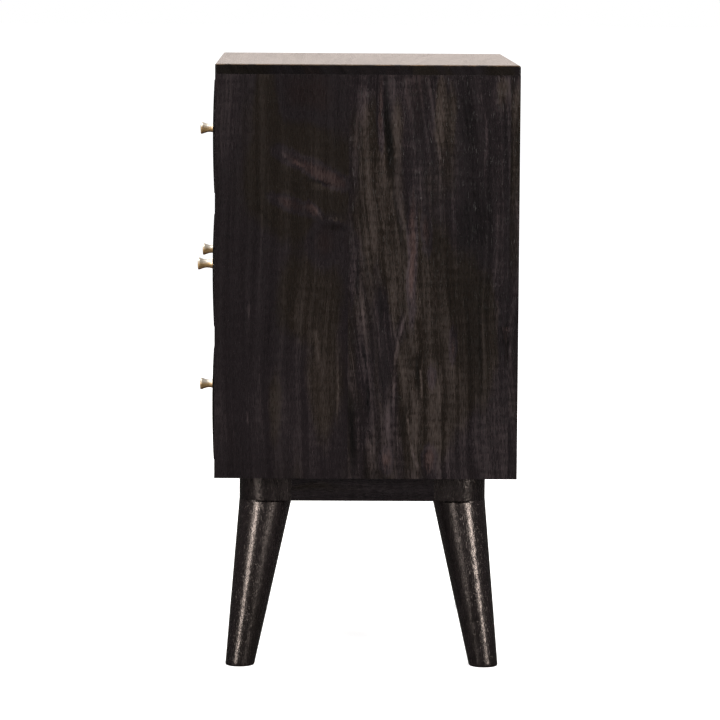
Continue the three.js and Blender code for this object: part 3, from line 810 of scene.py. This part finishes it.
def screw_mesh(head, head_high, shank, length):
    """A screw along +Y, head first: a low dome with a cross recess, then a shank ringed with thread. It is
    given and worked out in mm."""
    rise = 0.3 * head_high
    lip = 0.45
    rim = head - lip
    crown = 26
    bevel = 0.15
    profile = [(0.0, 0.0)]
    profile += [(rim * i / crown, rise * (i / crown) ** 2) for i in range(1, crown + 1)]
    profile += [(rim + lip * math.sin(a), rise + lip * (1 - math.cos(a))) for a in arc(20, 90, 4)]
    profile += [(head, head_high - bevel), (head - bevel, head_high), (shank, head_high)]
    pitch = 1.1
    core = shank * 0.78
    plain, point = 1.5, 2.0  # lengths without thread, under the head and at the end
    turns = int((length - head_high - (plain + point)) / pitch)
    for i in range(turns):
        start = head_high + plain + i * pitch
        profile += [(core, start), (shank, start + pitch / 2)]
    profile += [(core, length - point), (0.5, length), (0.0, length)]
    bm = turned_mesh(profile, 96)
    reach = 0.62 * head
    arm = 0.17 * head
    depth = 0.62 * head_high
    wall = 0.16
    for vert in bm.verts:
        x, y, z = abs(vert.co.x), vert.co.y, abs(vert.co.z)
        if y > rise or math.hypot(x, z) > rim:
            continue
        inside = min(reach - max(x, z), arm - min(x, z))
        vert.co.y += depth * min(1.0, max(0.0, inside / wall))
    bm.transform(Matrix.Scale(MM, 4))
    return bm


def build_screws(material):
    """Detailed screws stand for the CAD ones. The leg bolts stay, out of sight in the wood."""
    names = [f"{name}_knob_screw" for name in DRAWERS]
    names += [f"back_screw_{level}_{side}" for level in ("lower", "upper") for side in SIDES]
    names += [f"base_screw_{corner}" for corner in CORNERS]
    for name in names:
        low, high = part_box(name)
        middle = (low + high) / 2
        head = (high.x - low.x) / 2 / MM
        if name.startswith("base"):
            head_high, length = 3.0, high.z - low.z
            at = Vector((middle.x, middle.y, low.z))
            turn = Matrix.Rotation(math.pi / 2, 4, "X")
        else:
            head_high, length = 2.2, high.y - low.y
            at = Vector((middle.x, high.y, middle.z))
            turn = Matrix.Rotation(math.pi, 4, "X")
        bm = screw_mesh(head, head_high, 0.5 * head, length / MM)
        driven = Matrix.Rotation(0.4 * len(name), 4, "Y")  # crosses don't all stand the same way
        bm.transform(Matrix.Translation(at) @ turn @ driven)
        screw = piece_from(f"{name}_cross_head", bm, [material], body_of(name))
        shade_smooth(screw)
        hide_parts(name)
    for corner in CORNERS:
        bolt = frame["nodes"][f"leg_bolt_{corner}"]
        bolt.data.materials.clear()
        bolt.data.materials.append(material)


PIN = {"radius": 1.7, "high": 0.65, "sunk": 0.1}  # a pin's dome (mm)
PIN_INSETS = {"side": 5.5 * MM, "bottom": 9 * MM, "top": 5 * MM}


def build_pins(material):
    """Small domed pins round the back panel, between its screws."""
    left, right = BACK_LOW.x + PIN_INSETS["side"], BACK_HIGH.x - PIN_INSETS["side"]
    bottom, top = BACK_LOW.z + PIN_INSETS["bottom"], BACK_HIGH.z - PIN_INSETS["top"]
    upright = [(x, bottom + (top - bottom) * i / 6) for x in (left, right) for i in (0, 2, 3, 4, 6)]
    level = [(left + (right - left) * i / 4, z) for z in (bottom, top) for i in (1, 2, 3)]
    pins = bmesh.new()
    radius, sunk, rise = PIN["radius"], PIN["sunk"], PIN["high"]
    dome = [(0.0, sunk - rise)]
    dome += [(radius * math.sin(a), sunk - rise * math.cos(a)) for a in arc(15, 90, 6)]
    dome += [(0.0, sunk)]
    for x, z in upright + level:
        pin = turned_mesh([(r * MM, h * MM) for r, h in reversed(dome)], 32)
        pin.transform(Matrix.Translation((x, BACK_HIGH.y, z)) @ Matrix.Rotation(math.pi, 4, "X"))
        mesh = bpy.data.meshes.new("pin")
        pin.to_mesh(mesh)
        pin.free()
        pins.from_mesh(mesh)
        bpy.data.meshes.remove(mesh)
    piece = piece_from("back_panel_pins", pins, [material], "carcass")
    shade_smooth(piece)


# -------------------------------------------------- studio

FLOOR = {"radius": 30, "colour": (0.92, 0.92, 0.92, 1.0), "glow": 0.60}


def build_floor():
    """A pale floor that gives off a little light, so that shadows on it stay faint."""
    bm = bmesh.new()
    bmesh.ops.create_circle(bm, cap_ends=True, segments=96, radius=FLOOR["radius"])
    mesh = bpy.data.meshes.new("studio_floor")
    bm.to_mesh(mesh)
    bm.free()
    floor = bpy.data.objects.new("studio_floor", mesh)
    bpy.context.scene.collection.objects.link(floor)
    material, _, shader = new_material("pale_floor")
    shader.inputs["Base Color"].default_value = FLOOR["colour"]
    shader.inputs["Roughness"].default_value = 0.9
    shader.inputs["Specular IOR Level"].default_value = 0.0
    shader.inputs["Emission Color"].default_value = WHITE
    shader.inputs["Emission Strength"].default_value = FLOOR["glow"]
    mesh.materials.append(material)
    floor.visible_glossy = False


def build_world():
    """A pale room round the object, white to the camera. Gloss sees a bright warm wall on the far side,
    and is calm elsewhere."""
    world = bpy.data.worlds.new("studio")
    bpy.context.scene.world = world
    world.use_nodes = True
    tree = world.node_tree
    x, _, z = split(tree, node(tree, "ShaderNodeTexCoord").outputs["Generated"])
    rays = node(tree, "ShaderNodeLightPath").outputs
    floor_tone = (0.06, 0.056, 0.054, 1.0)
    far_wall = (1.53, 1.33, 1.22, 1.0)
    end_wall = (0.14, 0.122, 0.128, 1.0)
    near_wall = (0.064, 0.057, 0.062, 1.0)
    ceiling = (0.60, 0.58, 0.56, 1.0)
    ground_light = (0.3, 0.3, 0.3, 1.0)
    sky_light = (0.62, 0.62, 0.63, 1.0)
    wall = mix(tree, x.between(0.75, -0.45), near_wall, end_wall)
    wall = mix(tree, x.between(-0.50, -0.85), wall, far_wall)
    room = mix(tree, z.between(0.20, 0.50), wall, ceiling)
    room = mix(tree, z.between(0.03, 0.06), floor_tone, room)
    sky = mix(tree, z.between(-0.02, 0.02), ground_light, sky_light)
    light = mix(tree, rays["Is Glossy Ray"], sky, room)
    seen = mix(tree, rays["Is Camera Ray"], light, WHITE)
    feed(tree, tree.nodes["Background"].inputs["Color"], seen)


LAMP_COLOUR = (1.0, 0.94, 0.89)


def build_lights():
    """Two upright strips light the right-hand side. Larger boxes fill in from above and the far side."""
    softbox("strip_front", azimuth=57, elevation=12, distance=2.6, size=(0.30, 1.5), power=26)
    softbox("strip_back", azimuth=124, elevation=14, distance=2.6, size=(0.30, 1.5), power=34)
    softbox("overhead", azimuth=90, elevation=80, distance=2.2, size=(1.6, 1.6), power=34)
    softbox("fill_left", azimuth=-60, elevation=28, distance=2.8, size=(1.0, 1.4), power=19)
    softbox("fill_rear", azimuth=215, elevation=28, distance=2.8, size=(1.0, 1.4), power=19)


def softbox(name, azimuth, elevation, distance, size, power):
    """An area light aimed at the middle of the object. Azimuth 0 is in front of the drawers, 90 at +X."""
    lamp = bpy.data.lights.new(name, "AREA")
    lamp.shape = "RECTANGLE"
    lamp.size, lamp.size_y = size
    lamp.energy = power
    lamp.color = LAMP_COLOUR
    holder = bpy.data.objects.new(name, lamp)
    bpy.context.scene.collection.objects.link(holder)
    turn, rise = math.radians(azimuth), math.radians(elevation)
    level = math.cos(rise)
    outward = Vector((math.sin(turn) * level, -math.cos(turn) * level, math.sin(rise)))
    middle = (cad_bounds[0] + cad_bounds[1]) / 2
    holder.location = middle + outward * distance
    holder.rotation_mode = "QUATERNION"
    holder.rotation_quaternion = outward.to_track_quat("Z", "Y")
    holder.visible_camera = False


# Where the camera stands, its turns in degrees from a level look along -X, and its focal length in mm
CAMERA_PLACE = (4.1159, -0.0487, 0.7203)
CAMERA = {"yaw": 0.765, "down": 5.997, "roll": 0.362, "lens": 199.4}


def build_camera():
    """The camera looks at the right-hand side panel from a little above the top."""
    data = bpy.data.cameras.new("camera")
    data.lens = CAMERA["lens"]
    data.clip_end = 200
    camera = bpy.data.objects.new("camera", data)
    bpy.context.scene.collection.objects.link(camera)
    turn = Matrix.Rotation(math.radians(90 - CAMERA["yaw"]), 4, "Z")
    tilt = Matrix.Rotation(math.radians(90 - CAMERA["down"]), 4, "X")
    roll = Matrix.Rotation(math.radians(CAMERA["roll"]), 4, "Z")
    camera.matrix_world = Matrix.Translation(CAMERA_PLACE) @ turn @ tilt @ roll
    bpy.context.scene.camera = camera
    bpy.context.scene.view_settings.view_transform = "Standard"


# -------------------------------------------------- the whole scene

build_camera()
build_floor()
build_world()
build_lights()
build_carcass()
build_drawers()
build_knobs(brass())
build_base()
steel = zinc()
build_screws(steel)
build_pins(steel)
